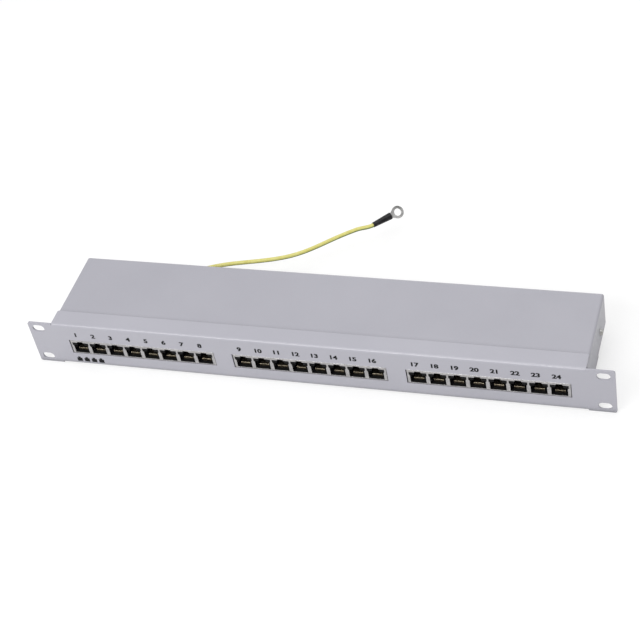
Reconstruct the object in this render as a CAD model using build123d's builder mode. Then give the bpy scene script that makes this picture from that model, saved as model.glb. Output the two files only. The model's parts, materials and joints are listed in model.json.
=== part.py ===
"""Screened 24-port patch panel for a 19 inch rack, one rack unit high.

All lengths are in millimetres. X runs to the right as seen from the front, Y to the rear and
Z up. The origin is the centre of the four rack slots, on the rear face of the ears.
"""

from build123d import *

import os
from math import cos, radians, sin

os.makedirs("parts", exist_ok=True)


def save(piece, node_name):
    """Labels a finished piece and writes it to its own file."""
    piece.part.label = node_name
    export_step(piece.part, f"parts/{node_name}.step")


# ---------------------------------------------------------------- driving dimensions

# Front panel: a 19 inch, one-unit rack panel folded back at its top and bottom edges.
PANEL_WIDTH = 482.6
PANEL_HEIGHT = 44.0
PANEL_SHEET = 1.5
PANEL_BEND = 2.2
EAR_CORNER = 2.0
SLOT_SPACING_X = 465.1
SLOT_SPACING_Z = 31.75
SLOT_LENGTH = 10.5
SLOT_HEIGHT = 7.0
FLANGE_HALF_WIDTH = 219.8
FLANGE_CORNER_CUT = 1.0
TOP_FLANGE_DEPTH = 16.5
BOTTOM_FLANGE_DEPTH = 13.5

FRONT = -PANEL_SHEET
TOP = PANEL_HEIGHT / 2
BOTTOM = -PANEL_HEIGHT / 2

# Ports: three banks of eight, each behind one window.
BANK_NAMES = ("left", "middle", "right")
BANK_PITCH = 143.8
PORTS = 8
PORT_PITCH = 15.7
WINDOW_WIDTH = 128.4
WINDOW_BOTTOM = BOTTOM + 12.3
WINDOW_TOP = BOTTOM + 27.0

# Enclosure: cover, tray and shelf are folded from one thickness of sheet.
SHEET = 1.2
SLIDE_GAP = 0.1
COVER_HALF_WIDTH = 220.2
COVER_TOP = TOP - PANEL_SHEET - SLIDE_GAP
COVER_FRONT = FRONT + 5.0
COVER_REAR = FRONT + 84.5
COVER_BEND = 2.0
SKIRT_BOTTOM = BOTTOM + 12.5
REAR_LIP = 10.0
REAR_RETURN = 7.0

TRAY_HALF_WIDTH = COVER_HALF_WIDTH - SHEET - SLIDE_GAP
TRAY_FLOOR = BOTTOM + PANEL_SHEET
TRAY_FLOOR_TOP = TRAY_FLOOR + SHEET
TRAY_FRONT = FRONT + PANEL_BEND + SLIDE_GAP
TRAY_REAR = FRONT + 53.0
TRAY_WALL_TOP = COVER_TOP - 2 * SHEET
TRAY_BEND = 2.4
WELD_TAB_WIDTH = 9.4
WELD_TAB_BOTTOM = BOTTOM + 4.0
WELD_TAB_TOP = TOP - 8.0

SHELF_BOTTOM = BOTTOM + 7.0
SHELF_TOP = SHELF_BOTTOM + SHEET
SHELF_FOOT_FRONT = FRONT + 43.5
SHELF_RISER = FRONT + 50.0
SHELF_REAR = FRONT + 80.0
SHELF_BEND = 1.5
SHELF_EAR_FRONT = TRAY_REAR + 1.5
SHELF_EAR_TOP = BOTTOM + 30.0
SHELF_EAR_CORNER = 4.0
TIE_COUNT = 24
TIE_PITCH = 17.0
TIE_SLOT_SPACING = 7.0
TIE_SLOT_LENGTH = 5.5
TIE_SLOT_WIDTH = 2.2
TIE_SLOT_Y = FRONT + 74.5

# Circuit boards.
BOARD_WIDTH = 143.0
BOARD_TOP = BOTTOM + 12.6
BOARD_BOTTOM = BOARD_TOP - 1.6
BOARD_FRONT = FRONT + 3.0
BOARD_REAR = FRONT + 49.5
BOARD_SCREW_X = 68.6
BOARD_SCREW_ROWS = (FRONT + 6.0, FRONT + 39.0)
PIN_TIP = BOARD_BOTTOM - 1.4

# Jack banks.
SHIELD_SHEET = 0.3
SHIELD_HALF_WIDTH = 63.8
SHIELD_FRONT = FRONT + 0.3
SHIELD_REAR = FRONT + 20.3
SHIELD_TOP = BOTTOM + 26.6
SHIELD_BEND = 0.6
SHIELD_LEG_ROWS = (FRONT + 6.0, FRONT + 16.0)
SHIELD_LEG_X = SHIELD_HALF_WIDTH - SHIELD_SHEET / 2
SHIELD_LEG_WIDTH = 1.2
SHIELD_LEG_HOLE = 0.8
HOUSING_GAP = 0.1
HOUSING_FRONT = SHIELD_FRONT + SHIELD_SHEET + HOUSING_GAP

OPENING_BOTTOM = BOTTOM + 13.3
OPENING_SHOULDER = BOTTOM + 20.6
OPENING_WIDE = BOTTOM + 21.6
OPENING_TOP = BOTTOM + 24.3
OPENING_NOTCH = BOTTOM + 25.3
OPENING_HALF_LOW = 6.35
OPENING_HALF_HIGH = 7.15
NOTCH_HALF = 2.5

CAVITY_FLOOR = BOTTOM + 14.3
CAVITY_TOP = BOTTOM + 21.2
CAVITY_HALF = 5.9
LATCH_HALF = 3.2
LATCH_TOP = BOTTOM + 24.2
CAVITY_DEPTH = 13.5

CONTACT_PITCH = 1.016
CONTACT_WIDTH = 0.46
CONTACT_THICKNESS = 0.3
CONTACTS = 8
CONTACT_BEND = 0.5
CONTACT_RUN = BOARD_TOP + 0.3
CONTACT_RISE = CAVITY_FLOOR + 1.8
CONTACT_FRONT = FRONT + 3.0
CONTACT_TIP_Y = FRONT + 12.5
CONTACT_TIP_Z = BOTTOM + 18.0
CONTACT_PIN_ROWS = (FRONT + 14.0, FRONT + 16.5)
CONTACT_PLAY = 0.15
CONTACT_SLOT_FRONT = CONTACT_FRONT - CONTACT_PLAY
CONTACT_SLOT_REAR = CONTACT_FRONT + 1.6
CONTACT_CHANNEL_HALF = 4.2
CONTACT_CHANNEL_TOP = BOARD_TOP + 0.9
CONTACT_CHANNEL_REAR = CONTACT_PIN_ROWS[-1] + 1.0
PIN_HOLE = 0.45

SIDE_SPRING_DEPTH = 3.6
SIDE_SPRING_BOTTOM = OPENING_BOTTOM + 0.6
SIDE_SPRING_TOP = OPENING_SHOULDER - 0.3
SPRING_POCKET = 0.15

# Punch-down strips: two rows on each board, four cables to a row, eight wires to a cable.
STRIP_ROWS = {"front": FRONT + 27.5, "rear": FRONT + 42.0}
STRIP_DEPTH = 11.0
STRIP_TOP = BOARD_TOP + 21.0
CABLES = 4
CABLE_PITCH = 32.8
CABLE_NOTCH_DEPTH = 4.0
WIRES = 8
WIRE_PITCH = 4.0
WIRE_SLOT = 1.1
WIRE_SLOT_DEPTH = 9.5
WIRE_LEAD_IN = 2.1
BLADE_WIDTH = 2.6
BLADE_THICKNESS = 0.5
BLADE_HEIGHT = 9.5
BLADE_GAP = 0.4
BLADE_GAP_DEPTH = 7.6
BLADE_LEAD_IN = 1.0
BLADE_PIN = 0.6
BLADE_PLAY = 0.15
POCKET_DEPTH = 11.0

# Fasteners.
M3_RADIUS = 1.5
M3_HEAD = 2.8
M3_HEAD_TOP = 2.25
M3_HEAD_HEIGHT = 1.9
CROSS_LENGTH = 3.1
CROSS_WIDTH = 0.7
M3_CLEARANCE = 0.2
COVER_SCREW_LENGTH = 9.0
BOARD_SCREW_LENGTH = 7.0
NUT_WIDTH = 5.5
NUT_HEIGHT = 1.8
STANDOFF_WIDTH = 5.2
STANDOFF_SHANK = M3_RADIUS + 0.6
STANDOFF_THREAD_DEPTH = 7.0
FIT = 0.05
RIVET_RADIUS = 1.6
RIVET_HEAD = 2.4
RIVET_HEAD_HEIGHT = 0.9
RIVET_COUNT = 5
RIVET_PITCH = 96.0
PANEL_RIVET_Y = FRONT + 9.0
SHELF_RIVET_Y = FRONT + 46.1
COVER_SCREW_Y = FRONT + 60.0
COVER_SCREW_Z = BOTTOM + 24.0

# Earth lead: a stud on the shelf, a wire and a free M6 ring terminal.
STUD_X = -150.0
STUD_Y = FRONT + 62.0
STUD_RADIUS = 2.0
STUD_HEAD = 3.6
STUD_HEAD_HEIGHT = 2.4
STUD_TIP_CHAMFER = 0.4
WASHER = 0.8
WASHER_OUTER = 4.5
WASHER_TEETH = 12
WASHER_NOTCH_DEPTH = 0.8
WASHER_NOTCH_WIDTH = 0.7
EARTH_NUT_WIDTH = 7.0
EARTH_NUT_HEIGHT = 3.2
LUG_THICKNESS = 0.8
LUG_RADIUS = 4.2
LUG_NECK_WIDTH = 3.6
LUG_PLAY = 0.02
LUG_BOTTOM = SHELF_TOP + WASHER + LUG_PLAY
LUG_TOP = LUG_BOTTOM + LUG_THICKNESS
UPPER_WASHER = LUG_TOP + LUG_PLAY
STUD_TOP = UPPER_WASHER + WASHER + EARTH_NUT_HEIGHT + 2.0
BARREL_WALL = 0.9
STUD_BARREL_START = 7.0
STUD_BARREL_END = 13.0
STUD_BARREL_DEPTH = 5.0
LUG_NECK_END = STUD_BARREL_START + 1.0
STUD_SLEEVE_START = LUG_NECK_END + 0.1
STUD_SLEEVE_SHOULDER = 13.3
STUD_SLEEVE_END = 16.0
SLEEVE_WALL = 0.5
WIRE_RADIUS = 1.8
STUD_SLEEVE_MOUTH = WIRE_RADIUS + 0.15
CORE_RADIUS = 1.15
BARREL_BORE = CORE_RADIUS + FIT
BARREL_RADIUS = BARREL_BORE + BARREL_WALL
RING_OUTER = 5.5
RING_HOLE = 3.2
RING_THICKNESS = 1.0


# ---------------------------------------------------------------- helpers


def bank_x(bank):
    """X of a bank's centre, counting the banks 0, 1, 2 from the left."""
    return (bank - 1) * BANK_PITCH


def square_to_y(x, y):
    """Upright plane through (x, y, 0) whose normal points to the front."""
    return Plane(origin=(x, y, 0), x_dir=(1, 0, 0), z_dir=(0, -1, 0))


def square_to_x(x):
    """Upright plane at X = x whose normal points to the right."""
    return Plane(origin=(x, 0, 0), x_dir=(0, 1, 0), z_dir=(1, 0, 0))


def channel_line(half_width, floor, rim, bend, sheet):
    """Draws the outline of a folded U of sheet, open at the top, in the current line."""
    corners = ((-half_width, rim), (-half_width, floor), (half_width, floor), (half_width, rim))
    FilletPolyline(*corners, radius=bend)
    offset(amount=sheet, side=Side.LEFT)


UPWARD = (Align.CENTER, Align.CENTER, Align.MIN)
DOWNWARD = (Align.CENTER, Align.CENTER, Align.MAX)


def pan_head_screw(shank_length):
    """Adds a cross-recessed screw at the current locations, head up, seat at the location."""
    Cylinder(M3_RADIUS, shank_length, align=DOWNWARD)
    Cone(M3_HEAD, M3_HEAD_TOP, M3_HEAD_HEIGHT, align=UPWARD)
    with Locations((0, 0, M3_HEAD_HEIGHT)):
        Box(CROSS_LENGTH, CROSS_WIDTH, M3_HEAD_HEIGHT, mode=Mode.SUBTRACT)
        Box(CROSS_WIDTH, CROSS_LENGTH, M3_HEAD_HEIGHT, mode=Mode.SUBTRACT)


# ---------------------------------------------------------------- front panel

with BuildPart() as front_panel:
    with BuildSketch(Plane.YZ):
        with BuildLine():
            FilletPolyline(
                (FRONT + BOTTOM_FLANGE_DEPTH, BOTTOM),
                (FRONT, BOTTOM),
                (FRONT, TOP),
                (FRONT + TOP_FLANGE_DEPTH, TOP),
                radius=PANEL_BEND,
            )
            offset(amount=PANEL_SHEET, side=Side.RIGHT)
        make_face()
    extrude(amount=FLANGE_HALF_WIDTH, both=True)
    flange_corners = front_panel.edges().filter_by(Axis.Z).group_by(Axis.Y)[-1]
    chamfer(flange_corners, FLANGE_CORNER_CUT)

    # Ears, with their rounded outer corners.
    ear_width = PANEL_WIDTH / 2 - FLANGE_HALF_WIDTH
    ear_x = FLANGE_HALF_WIDTH + ear_width / 2
    with BuildSketch(Plane.XZ) as ears:
        with Locations((-ear_x, 0), (ear_x, 0)):
            Rectangle(ear_width, PANEL_HEIGHT)
        ear_corners = ears.vertices().group_by(Axis.X)
        fillet(ear_corners[0] + ear_corners[-1], EAR_CORNER)
    extrude(amount=PANEL_SHEET)

    # Rack slots and the three windows.
    with BuildSketch(Plane.XZ):
        with GridLocations(SLOT_SPACING_X, SLOT_SPACING_Z, 2, 2):
            SlotOverall(SLOT_LENGTH, SLOT_HEIGHT)
        with Locations((0, (WINDOW_BOTTOM + WINDOW_TOP) / 2)):
            with GridLocations(BANK_PITCH, 0, len(BANK_NAMES), 1):
                Rectangle(WINDOW_WIDTH, WINDOW_TOP - WINDOW_BOTTOM)
    extrude(amount=PANEL_SHEET, mode=Mode.SUBTRACT)

    # Countersunk rivet holes in the bottom flange.
    with BuildSketch(Plane.XY.offset(BOTTOM)):
        with Locations((0, PANEL_RIVET_Y)):
            with GridLocations(RIVET_PITCH, 0, RIVET_COUNT, 1):
                Circle(RIVET_RADIUS)
    extrude(amount=PANEL_SHEET, mode=Mode.SUBTRACT)
    with Locations((0, PANEL_RIVET_Y, BOTTOM)):
        with GridLocations(RIVET_PITCH, 0, RIVET_COUNT, 1):
            Cone(RIVET_HEAD, RIVET_RADIUS, RIVET_HEAD_HEIGHT, align=UPWARD, mode=Mode.SUBTRACT)

save(front_panel, "front_panel")


# ---------------------------------------------------------------- tray

with BuildPart() as base_tray:
    with BuildSketch(square_to_y(0, TRAY_REAR)):
        with BuildLine():
            channel_line(TRAY_HALF_WIDTH, TRAY_FLOOR, TRAY_WALL_TOP, TRAY_BEND, SHEET)
        make_face()
    extrude(amount=TRAY_REAR - TRAY_FRONT)

    # Tabs turned in behind the front panel, where the tray is spot-welded to it.
    tab_height = WELD_TAB_TOP - WELD_TAB_BOTTOM
    tab_middle = (WELD_TAB_TOP + WELD_TAB_BOTTOM) / 2
    for side in (-1, 1):
        with BuildSketch(square_to_y(side * TRAY_HALF_WIDTH, TRAY_FRONT)):
            with Locations((-side * SHEET / 2, tab_middle)):
                Rectangle(SHEET, tab_height)
        extrude(amount=TRAY_FRONT)
        with BuildSketch(square_to_y(side * TRAY_HALF_WIDTH, SHEET)):
            with Locations((-side * WELD_TAB_WIDTH / 2, tab_middle)):
                Rectangle(WELD_TAB_WIDTH, tab_height)
        extrude(amount=SHEET)

    # Holes for the rivets and for the shanks of the board stand-offs.
    with BuildSketch(Plane.XY.offset(TRAY_FLOOR)):
        for row in (PANEL_RIVET_Y, SHELF_RIVET_Y):
            with Locations((0, row)):
                with GridLocations(RIVET_PITCH, 0, RIVET_COUNT, 1):
                    Circle(RIVET_RADIUS)
        for row in BOARD_SCREW_ROWS:
            for bank in range(len(BANK_NAMES)):
                with Locations((bank_x(bank), row)):
                    with GridLocations(2 * BOARD_SCREW_X, 0, 2, 1):
                        Circle(STANDOFF_SHANK)
    extrude(amount=SHEET, mode=Mode.SUBTRACT)

save(base_tray, "base_tray")


# ---------------------------------------------------------------- cable shelf

with BuildPart() as cable_shelf:
    # Foot on the tray, riser and level shelf.
    with BuildSketch(Plane.YZ):
        with BuildLine():
            FilletPolyline(
                (SHELF_FOOT_FRONT, TRAY_FLOOR_TOP),
                (SHELF_RISER, TRAY_FLOOR_TOP),
                (SHELF_RISER, SHELF_BOTTOM),
                (SHELF_REAR, SHELF_BOTTOM),
                radius=SHELF_BEND,
            )
            offset(amount=SHEET, side=Side.LEFT)
        make_face()
    extrude(amount=TRAY_HALF_WIDTH - TRAY_BEND - SLIDE_GAP, both=True)

    # Ears that stand in line with the tray walls.
    with BuildSketch(square_to_y(0, SHELF_REAR)):
        with BuildLine():
            channel_line(TRAY_HALF_WIDTH, SHELF_BOTTOM, SHELF_EAR_TOP, COVER_BEND, SHEET)
        make_face()
    extrude(amount=SHELF_REAR - SHELF_EAR_FRONT)
    ear_top_corners = cable_shelf.edges().filter_by(Axis.X).group_by(Axis.Z)[-1]
    fillet(ear_top_corners, SHELF_EAR_CORNER)

    # Slots for the cover screws, open to the rear so the cover can be drawn off.
    with BuildSketch(Plane.YZ):
        with Locations((COVER_SCREW_Y, COVER_SCREW_Z)):
            Circle(M3_RADIUS + SLIDE_GAP)
            Rectangle(
                SHELF_REAR - COVER_SCREW_Y + 1,
                2 * (M3_RADIUS + SLIDE_GAP),
                align=(Align.MIN, Align.CENTER),
            )
    extrude(amount=TRAY_HALF_WIDTH, both=True, mode=Mode.SUBTRACT)

    # A pair of cable-tie slots for each cable, the stud hole and the rivet holes.
    with BuildSketch(Plane.XY.offset(SHELF_BOTTOM)):
        with Locations((0, TIE_SLOT_Y)):
            with GridLocations(TIE_PITCH, 0, TIE_COUNT, 1):
                with GridLocations(TIE_SLOT_SPACING, 0, 2, 1):
                    SlotOverall(TIE_SLOT_LENGTH, TIE_SLOT_WIDTH, rotation=90)
        with Locations((STUD_X, STUD_Y)):
            Circle(STUD_RADIUS + FIT)
    extrude(amount=SHEET, mode=Mode.SUBTRACT)
    with BuildSketch(Plane.XY.offset(TRAY_FLOOR_TOP)):
        with Locations((0, SHELF_RIVET_Y)):
            with GridLocations(RIVET_PITCH, 0, RIVET_COUNT, 1):
                Circle(RIVET_RADIUS)
    extrude(amount=SHEET, mode=Mode.SUBTRACT)

save(cable_shelf, "cable_shelf")


# ---------------------------------------------------------------- rivets

with BuildPart() as panel_rivets:
    with Locations((0, PANEL_RIVET_Y, BOTTOM)):
        with GridLocations(RIVET_PITCH, 0, RIVET_COUNT, 1):
            Cylinder(RIVET_RADIUS, TRAY_FLOOR_TOP - BOTTOM, align=UPWARD)
            Cone(RIVET_HEAD, RIVET_RADIUS, RIVET_HEAD_HEIGHT, align=UPWARD)
    with Locations((0, PANEL_RIVET_Y, TRAY_FLOOR_TOP)):
        with GridLocations(RIVET_PITCH, 0, RIVET_COUNT, 1):
            Cone(RIVET_HEAD, RIVET_RADIUS, RIVET_HEAD_HEIGHT, align=UPWARD)

save(panel_rivets, "panel_rivets")

with BuildPart() as shelf_rivets:
    with Locations((0, SHELF_RIVET_Y, TRAY_FLOOR)):
        with GridLocations(RIVET_PITCH, 0, RIVET_COUNT, 1):
            Cylinder(RIVET_RADIUS, 2 * SHEET, align=UPWARD)
            Cone(RIVET_RADIUS, RIVET_HEAD, RIVET_HEAD_HEIGHT, align=DOWNWARD)
    with Locations((0, SHELF_RIVET_Y, TRAY_FLOOR_TOP + SHEET)):
        with GridLocations(RIVET_PITCH, 0, RIVET_COUNT, 1):
            Cone(RIVET_HEAD, RIVET_RADIUS, RIVET_HEAD_HEIGHT, align=UPWARD)

save(shelf_rivets, "shelf_rivets")


# ---------------------------------------------------------------- cover

with BuildPart() as top_cover:
    cover_depth = COVER_REAR - COVER_FRONT
    with BuildSketch(Plane.XY.offset(SKIRT_BOTTOM)):
        with Locations((0, COVER_FRONT + cover_depth / 2)):
            Rectangle(2 * COVER_HALF_WIDTH, cover_depth)
    extrude(amount=COVER_TOP - SKIRT_BOTTOM)
    top_edges = top_cover.edges().group_by(Axis.Z)[-1]
    rear_edges = top_cover.edges().filter_by(Axis.Z).group_by(Axis.Y)[-1]
    fillet(top_edges.sort_by(Axis.Y)[1:] + rear_edges, COVER_BEND)
    bottom_face = top_cover.faces().sort_by(Axis.Z)[0]
    front_face = top_cover.faces().sort_by(Axis.Y)[0]
    offset(amount=-SHEET, openings=[bottom_face, front_face])

    # Cable opening below the rear lip, between the two rear returns.
    opening_top = COVER_TOP - REAR_LIP
    with BuildSketch(square_to_y(0, COVER_REAR)) as cable_opening:
        with Locations((0, SKIRT_BOTTOM)):
            Rectangle(
                2 * (COVER_HALF_WIDTH - REAR_RETURN),
                opening_top - SKIRT_BOTTOM,
                align=(Align.CENTER, Align.MIN),
            )
        fillet(cable_opening.vertices().group_by(Axis.Z)[-1], COVER_BEND)
    extrude(amount=2 * SHEET, mode=Mode.SUBTRACT)

    # Holes for the two cover screws.
    with BuildSketch(Plane.YZ):
        with Locations((COVER_SCREW_Y, COVER_SCREW_Z)):
            Circle(M3_RADIUS + SLIDE_GAP)
    extrude(amount=COVER_HALF_WIDTH, both=True, mode=Mode.SUBTRACT)

save(top_cover, "top_cover")


for side, name in ((-1, "left"), (1, "right")):
    with BuildPart() as cover_screw:
        seat = (side * COVER_HALF_WIDTH, COVER_SCREW_Y, COVER_SCREW_Z)
        with Locations(Location(seat, (0, side * 90, 0))):
            pan_head_screw(COVER_SCREW_LENGTH)
    save(cover_screw, f"cover_screw_{name}")

with BuildPart() as cover_nuts:
    for side in (-1, 1):
        nut_seat = side * (TRAY_HALF_WIDTH - SHEET - FIT)
        with BuildSketch(square_to_x(nut_seat)):
            with Locations((COVER_SCREW_Y, COVER_SCREW_Z)):
                Rectangle(NUT_WIDTH, NUT_WIDTH)
                Circle(M3_RADIUS + FIT, mode=Mode.SUBTRACT)
        extrude(amount=-side * NUT_HEIGHT)

save(cover_nuts, "cover_nuts")


# ---------------------------------------------------------------- circuit boards

with BuildPart() as board_standoffs:
    for bank in range(len(BANK_NAMES)):
        for row in BOARD_SCREW_ROWS:
            for side in (-1, 1):
                foot = (bank_x(bank) + side * BOARD_SCREW_X, row)
                with BuildSketch(Plane.XY.offset(TRAY_FLOOR)):
                    with Locations(foot):
                        Circle(STANDOFF_SHANK - FIT)
                extrude(amount=SHEET)
                with BuildSketch(Plane.XY.offset(TRAY_FLOOR_TOP)):
                    with Locations(foot):
                        RegularPolygon(STANDOFF_WIDTH / 2, 6, major_radius=False)
                extrude(amount=BOARD_BOTTOM - TRAY_FLOOR_TOP)
                with BuildSketch(Plane.XY.offset(BOARD_BOTTOM)):
                    with Locations(foot):
                        Circle(M3_RADIUS + FIT)
                extrude(amount=-STANDOFF_THREAD_DEPTH, mode=Mode.SUBTRACT)

save(board_standoffs, "board_standoffs")

with BuildPart() as board_screws:
    for bank in range(len(BANK_NAMES)):
        for row in BOARD_SCREW_ROWS:
            for side in (-1, 1):
                with Locations((bank_x(bank) + side * BOARD_SCREW_X, row, BOARD_TOP)):
                    pan_head_screw(BOARD_SCREW_LENGTH)

save(board_screws, "board_screws")


def contact_x(bank, pin_row):
    """X of every contact in a bank whose pin stands in the given row, 0 or 1."""
    places = []
    for port in range(PORTS):
        port_x = bank_x(bank) + (port - (PORTS - 1) / 2) * PORT_PITCH
        for contact in range(pin_row, CONTACTS, 2):
            places.append(port_x + (contact - (CONTACTS - 1) / 2) * CONTACT_PITCH)
    return places


def blade_x():
    """X of every blade of one strip, from the strip's middle."""
    places = []
    for cable in range(CABLES):
        cable_x = (cable - (CABLES - 1) / 2) * CABLE_PITCH
        for wire in range(WIRES):
            places.append(cable_x + (wire - (WIRES - 1) / 2) * WIRE_PITCH)
    return places


for bank, name in enumerate(BANK_NAMES):
    with BuildPart() as circuit_board:
        with BuildSketch(Plane.XY.offset(BOARD_BOTTOM)):
            with Locations((bank_x(bank), (BOARD_FRONT + BOARD_REAR) / 2)):
                Rectangle(BOARD_WIDTH, BOARD_REAR - BOARD_FRONT)
            for row in BOARD_SCREW_ROWS:
                with Locations((bank_x(bank), row)):
                    with GridLocations(2 * BOARD_SCREW_X, 0, 2, 1):
                        Circle(M3_RADIUS + M3_CLEARANCE, mode=Mode.SUBTRACT)
            for row in SHIELD_LEG_ROWS:
                with Locations((bank_x(bank), row)):
                    with GridLocations(2 * SHIELD_LEG_X, 0, 2, 1):
                        Circle(SHIELD_LEG_HOLE, mode=Mode.SUBTRACT)
            for pin_row, row in enumerate(CONTACT_PIN_ROWS):
                with Locations([(x, row) for x in contact_x(bank, pin_row)]):
                    Circle(PIN_HOLE, mode=Mode.SUBTRACT)
            for row in STRIP_ROWS.values():
                with Locations([(bank_x(bank) + x, row) for x in blade_x()]):
                    Circle(PIN_HOLE, mode=Mode.SUBTRACT)
        extrude(amount=BOARD_TOP - BOARD_BOTTOM)
    save(circuit_board, f"circuit_board_{name}")


# ---------------------------------------------------------------- jack banks

with BuildSketch(Plane.XY, mode=Mode.PRIVATE) as port_opening:
    with BuildLine():
        Polyline(
            (0, OPENING_BOTTOM),
            (OPENING_HALF_LOW, OPENING_BOTTOM),
            (OPENING_HALF_LOW, OPENING_SHOULDER),
            (OPENING_HALF_HIGH, OPENING_WIDE),
            (OPENING_HALF_HIGH, OPENING_TOP),
            (NOTCH_HALF, OPENING_TOP),
            (NOTCH_HALF, OPENING_NOTCH),
            (0, OPENING_NOTCH),
        )
        mirror(about=Plane.YZ)
    make_face()

with BuildSketch(Plane.XY, mode=Mode.PRIVATE) as plug_cavity:
    with Locations((0, CAVITY_FLOOR)):
        Rectangle(2 * CAVITY_HALF, CAVITY_TOP - CAVITY_FLOOR, align=(Align.CENTER, Align.MIN))
        Rectangle(2 * LATCH_HALF, LATCH_TOP - CAVITY_FLOOR, align=(Align.CENTER, Align.MIN))
        Rectangle(2 * NOTCH_HALF, OPENING_NOTCH - CAVITY_FLOOR, align=(Align.CENTER, Align.MIN))

def bank_shield(bank):
    """Plated sheet box round one bank, open at the bottom, with eight port openings."""
    x = bank_x(bank)
    depth = SHIELD_REAR - SHIELD_FRONT
    with BuildPart() as shield:
        with BuildSketch(Plane.XY.offset(BOARD_TOP)):
            with Locations((x, SHIELD_FRONT + depth / 2)):
                Rectangle(2 * SHIELD_HALF_WIDTH, depth)
        extrude(amount=SHIELD_TOP - BOARD_TOP)
        fillet(shield.edges().group_by(Axis.Z)[-1] + shield.edges().filter_by(Axis.Z), SHIELD_BEND)
        offset(amount=-SHIELD_SHEET, openings=[shield.faces().sort_by(Axis.Z)[0]])
        with BuildSketch(square_to_y(x, SHIELD_FRONT + SHIELD_SHEET)):
            with GridLocations(PORT_PITCH, 0, PORTS, 1):
                add(port_opening.sketch)
        extrude(amount=SHIELD_SHEET, mode=Mode.SUBTRACT)

        # Springs folded in along both sides of every opening, to touch the plug's screen.
        spring_middle = (SIDE_SPRING_BOTTOM + SIDE_SPRING_TOP) / 2
        with BuildSketch(square_to_y(x, SHIELD_FRONT + SIDE_SPRING_DEPTH)):
            with Locations((0, spring_middle)):
                with GridLocations(PORT_PITCH, 0, PORTS, 1):
                    with GridLocations(2 * OPENING_HALF_LOW + SHIELD_SHEET, 0, 2, 1):
                        Rectangle(SHIELD_SHEET, SIDE_SPRING_TOP - SIDE_SPRING_BOTTOM)
        extrude(amount=SIDE_SPRING_DEPTH - SHIELD_SHEET / 2)

        # Legs through the circuit board.
        with BuildSketch(Plane.XY.offset(PIN_TIP)):
            with Locations([(x, row) for row in SHIELD_LEG_ROWS]):
                with GridLocations(2 * SHIELD_LEG_X, 0, 2, 1):
                    Rectangle(SHIELD_SHEET, SHIELD_LEG_WIDTH)
        extrude(amount=BOARD_TOP + 1 - PIN_TIP)
    return shield


def bank_housing(bank):
    """Black moulding inside one shield, with eight plug cavities open to the front."""
    x = bank_x(bank)
    half_width = SHIELD_HALF_WIDTH - SHIELD_SHEET - HOUSING_GAP
    rear = SHIELD_REAR - SHIELD_SHEET - HOUSING_GAP
    with BuildPart() as housing:
        with BuildSketch(Plane.XY.offset(BOARD_TOP)) as footprint:
            with Locations((x, (HOUSING_FRONT + rear) / 2)):
                Rectangle(2 * half_width, rear - HOUSING_FRONT)
            fillet(footprint.vertices(), SHIELD_BEND)
        extrude(amount=SHIELD_TOP - SHIELD_SHEET - HOUSING_GAP - BOARD_TOP)
        chamfer(housing.faces().sort_by(Axis.Z)[-1].edges(), SHIELD_BEND / 2)
        with BuildSketch(square_to_y(x, HOUSING_FRONT + CAVITY_DEPTH)):
            with GridLocations(PORT_PITCH, 0, PORTS, 1):
                add(plug_cavity.sketch)
        extrude(amount=CAVITY_DEPTH, mode=Mode.SUBTRACT)

        # Pockets beside each cavity for the shield's side springs.
        with BuildSketch(square_to_y(x, SHIELD_FRONT + SIDE_SPRING_DEPTH + SPRING_POCKET)):
            with Locations((0, (SIDE_SPRING_BOTTOM + SIDE_SPRING_TOP) / 2)):
                with GridLocations(PORT_PITCH, 0, PORTS, 1):
                    Rectangle(
                        2 * (OPENING_HALF_LOW + SHIELD_SHEET + SPRING_POCKET),
                        SIDE_SPRING_TOP - SIDE_SPRING_BOTTOM + 2 * SPRING_POCKET,
                    )
        extrude(amount=SIDE_SPRING_DEPTH, mode=Mode.SUBTRACT)

        # Channel under each cavity floor for the contacts, and the slots they come up through.
        with BuildSketch(square_to_y(x, CONTACT_CHANNEL_REAR)):
            with Locations((0, BOARD_TOP)):
                with GridLocations(PORT_PITCH, 0, PORTS, 1):
                    Rectangle(
                        2 * CONTACT_CHANNEL_HALF,
                        CONTACT_CHANNEL_TOP - BOARD_TOP,
                        align=(Align.CENTER, Align.MIN),
                    )
        extrude(amount=CONTACT_CHANNEL_REAR - CONTACT_SLOT_FRONT, mode=Mode.SUBTRACT)
        with BuildSketch(Plane.XY.offset(BOARD_TOP)):
            with Locations((x, (CONTACT_SLOT_FRONT + CONTACT_SLOT_REAR) / 2)):
                with GridLocations(PORT_PITCH, 0, PORTS, 1):
                    with GridLocations(CONTACT_PITCH, 0, CONTACTS, 1):
                        Rectangle(
                            CONTACT_WIDTH + 2 * CONTACT_PLAY,
                            CONTACT_SLOT_REAR - CONTACT_SLOT_FRONT,
                        )
        extrude(amount=CAVITY_FLOOR + CONTACT_PLAY - BOARD_TOP, mode=Mode.SUBTRACT)
    return housing


def bank_contacts(bank):
    """The 64 springs of one bank: pin, run under the floor, turn round its edge, sloping tip."""
    with BuildPart() as contacts:
        for pin_row, row in enumerate(CONTACT_PIN_ROWS):
            planes = [square_to_x(x - CONTACT_WIDTH / 2) for x in contact_x(bank, pin_row)]
            with BuildSketch(*planes):
                with BuildLine():
                    FilletPolyline(
                        (row, PIN_TIP),
                        (row, CONTACT_RUN),
                        (CONTACT_FRONT, CONTACT_RUN),
                        (CONTACT_FRONT, CONTACT_RISE),
                        (CONTACT_TIP_Y, CONTACT_TIP_Z),
                        radius=CONTACT_BEND,
                    )
                    offset(amount=CONTACT_THICKNESS, side=Side.RIGHT)
                make_face()
            extrude(amount=CONTACT_WIDTH)
    return contacts


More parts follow.
